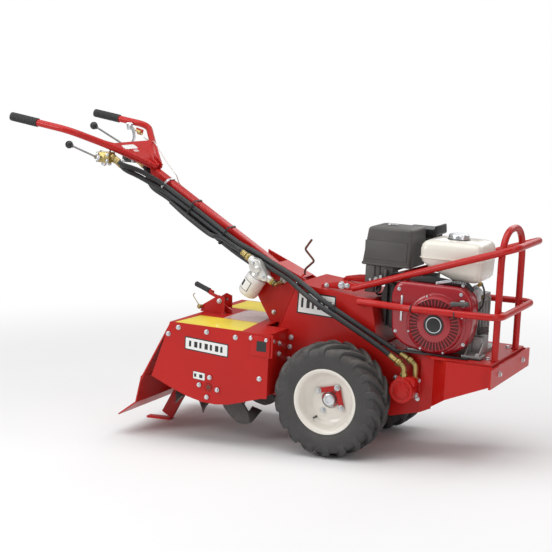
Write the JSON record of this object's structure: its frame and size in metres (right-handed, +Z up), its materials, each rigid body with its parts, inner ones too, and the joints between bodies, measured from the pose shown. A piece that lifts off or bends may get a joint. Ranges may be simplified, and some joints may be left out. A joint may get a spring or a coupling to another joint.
{
  "type": "rear-tine tiller",
  "caption": "Walk-behind hydraulic rear-tine tiller: tined rotor under a hood, two driven wheels, engine in a tube guard and a tilting column handle.",
  "frame": {"origin": "on the ground, at the middle of the bounding box in x and y", "axes": "+X forward, +Y to the left of the direction of travel, +Z up from level ground"},
  "size_m": [1.933, 0.6136, 1.1896],
  "materials": {
    "red_paint": "gloss",
    "red_cover": "gloss",
    "ivory_paint": "gloss",
    "ivory_plastic": "gloss",
    "tyre_rubber": "matte",
    "hose_rubber": "matte",
    "black_plastic": "matte",
    "dark_steel": "worn",
    "bright_steel": "satin",
    "valve_brass": "satin",
    "engine_alloy": "cast",
    "white_paint": "gloss"
  },
  "bodies": {
    "chassis": {"frame_side_right": "red_paint", "frame_side_left": "red_paint", "frame_cover": "red_paint", "front_frame": "red_paint", "engine_deck": "red_paint", "guard_hoop": "red_paint", "guard_rail_lower": "red_paint", "guard_rail_upper": "red_paint", "hood_top": "red_paint", "hood_side_right": "red_paint", "hood_side_left": "red_paint", "tine_bearing": "bright_steel", "tine_motor": "dark_steel", "depth_bracket": "red_paint", "wheel_motor": "red_paint", "drive_chain": "dark_steel", "crankcase": "engine_alloy", "cylinder": "engine_alloy", "fan_cover": "red_cover", "recoil_housing": "red_cover", "hydraulic_pump": "dark_steel", "fuel_tank": "ivory_plastic", "air_cleaner": "black_plastic", "carburetor": "engine_alloy", "muffler": "dark_steel", "handle_bracket": "red_paint", "motor_hoses": "hose_rubber", "filter_canister": "white_paint", "filter_head": "engine_alloy"},
    "rear_flap": {"rear_flap": "red_paint"},
    "depth_stake": {"depth_stake": "red_paint"},
    "depth_lever": {"depth_lever": "red_paint"},
    "tine_rotor": {"tine_shaft": "dark_steel", "tine_set_1": "dark_steel", "tine_set_2": "dark_steel", "tine_set_3": "dark_steel", "tine_set_4": "dark_steel"},
    "wheels": {"drive_axle": "bright_steel", "rim_right": "ivory_paint", "rim_left": "ivory_paint", "tyre_right": "tyre_rubber", "tyre_left": "tyre_rubber", "drive_clamp_right": "red_paint", "drive_clamp_left": "red_paint"},
    "motor_sprocket": {"motor_sprocket": "dark_steel"},
    "recoil_grip": {"recoil_grip": "black_plastic"},
    "crankshaft": {"crankshaft": "bright_steel"},
    "fuel_cap": {"fuel_cap": "bright_steel"},
    "oil_cap": {"oil_cap": "black_plastic"},
    "handle": {"handle_column": "red_paint", "handlebar": "red_paint", "grip_right": "hose_rubber", "grip_left": "hose_rubber", "tine_valve": "valve_brass", "drive_valve": "valve_brass", "handle_hoses": "hose_rubber"},
    "tine_lever": {"tine_lever": "bright_steel"},
    "drive_lever": {"drive_lever": "bright_steel"},
    "stop_lever": {"stop_lever": "bright_steel"},
    "lock_rod": {"handle_lock_rod": "bright_steel"}
  },
  "joints": [
    {"name": "wheel_spin", "type": "hinge", "parent": "chassis", "child": "wheels", "pos_m": [0.32082, 0, 0.203], "axis": [0, 1, 0], "continuous": true},
    {"name": "motor_spin", "type": "hinge", "parent": "chassis", "child": "motor_sprocket", "pos_m": [0.56826, 0, 0.24696], "axis": [0, 1, 0], "continuous": true},
    {"name": "tine_spin", "type": "hinge", "parent": "chassis", "child": "tine_rotor", "pos_m": [-0.13422, 0, 0.21324], "axis": [0, 1, 0], "continuous": true},
    {"name": "flap_swing", "type": "hinge", "parent": "chassis", "child": "rear_flap", "pos_m": [-0.41708, 0, 0.22307], "axis": [0, 1, 0], "range_deg": [0, 55]},
    {"name": "depth_slide", "type": "slide", "parent": "chassis", "child": "depth_stake", "axis": [0.5074, 0, 0.8617], "range_m": [0, 0.055]},
    {"name": "depth_lever_turn", "type": "hinge", "parent": "chassis", "child": "depth_lever", "pos_m": [-0.22206, -0.027, 0.48486], "axis": [0, 1, 0], "range_deg": [0, 25]},
    {"name": "handle_tilt", "type": "hinge", "parent": "chassis", "child": "handle", "pos_m": [0.0542, 0, 0.58568], "axis": [0, 1, 0], "range_deg": [-5, 8]},
    {"name": "tine_lever_tilt", "type": "hinge", "parent": "handle", "child": "tine_lever", "pos_m": [-0.67897, -0.152, 1.01981], "axis": [0, 1, 0], "range_deg": [-15, 15]},
    {"name": "drive_lever_tilt", "type": "hinge", "parent": "handle", "child": "drive_lever", "pos_m": [-0.62507, 0, 1.04721], "axis": [0, 1, 0], "range_deg": [-15, 15]},
    {"name": "stop_lever_tilt", "type": "hinge", "parent": "handle", "child": "stop_lever", "pos_m": [-0.78516, 0.266, 1.13114], "axis": [0, 1, 0], "range_deg": [-10, 20]},
    {"name": "lock_rod_lift", "type": "slide", "parent": "chassis", "child": "lock_rod", "axis": [0.0488, 0, 0.9988], "range_m": [0, 0.02]},
    {"name": "starter_pull", "type": "slide", "parent": "chassis", "child": "recoil_grip", "axis": [0.373, -0.799, 0.4717], "range_m": [0, 0.3]},
    {"name": "crank_spin", "type": "hinge", "parent": "chassis", "child": "crankshaft", "pos_m": [0.67687, 0, 0.48194], "axis": [0, 1, 0], "continuous": true},
    {"name": "fuel_cap_turn", "type": "hinge", "parent": "chassis", "child": "fuel_cap", "pos_m": [0.70853, -0.02, 0.76073], "axis": [0.0488, 0, 0.9988], "range_deg": [0, 90]},
    {"name": "oil_cap_turn", "type": "hinge", "parent": "chassis", "child": "oil_cap", "pos_m": [0.79032, -0.06, 0.44736], "axis": [0.961, 0, 0.2765], "range_deg": [0, 180]}
  ],
  "couplings": [
    {"joint": "motor_spin", "follows": "wheel_spin", "ratio": 2.5}
  ]
}
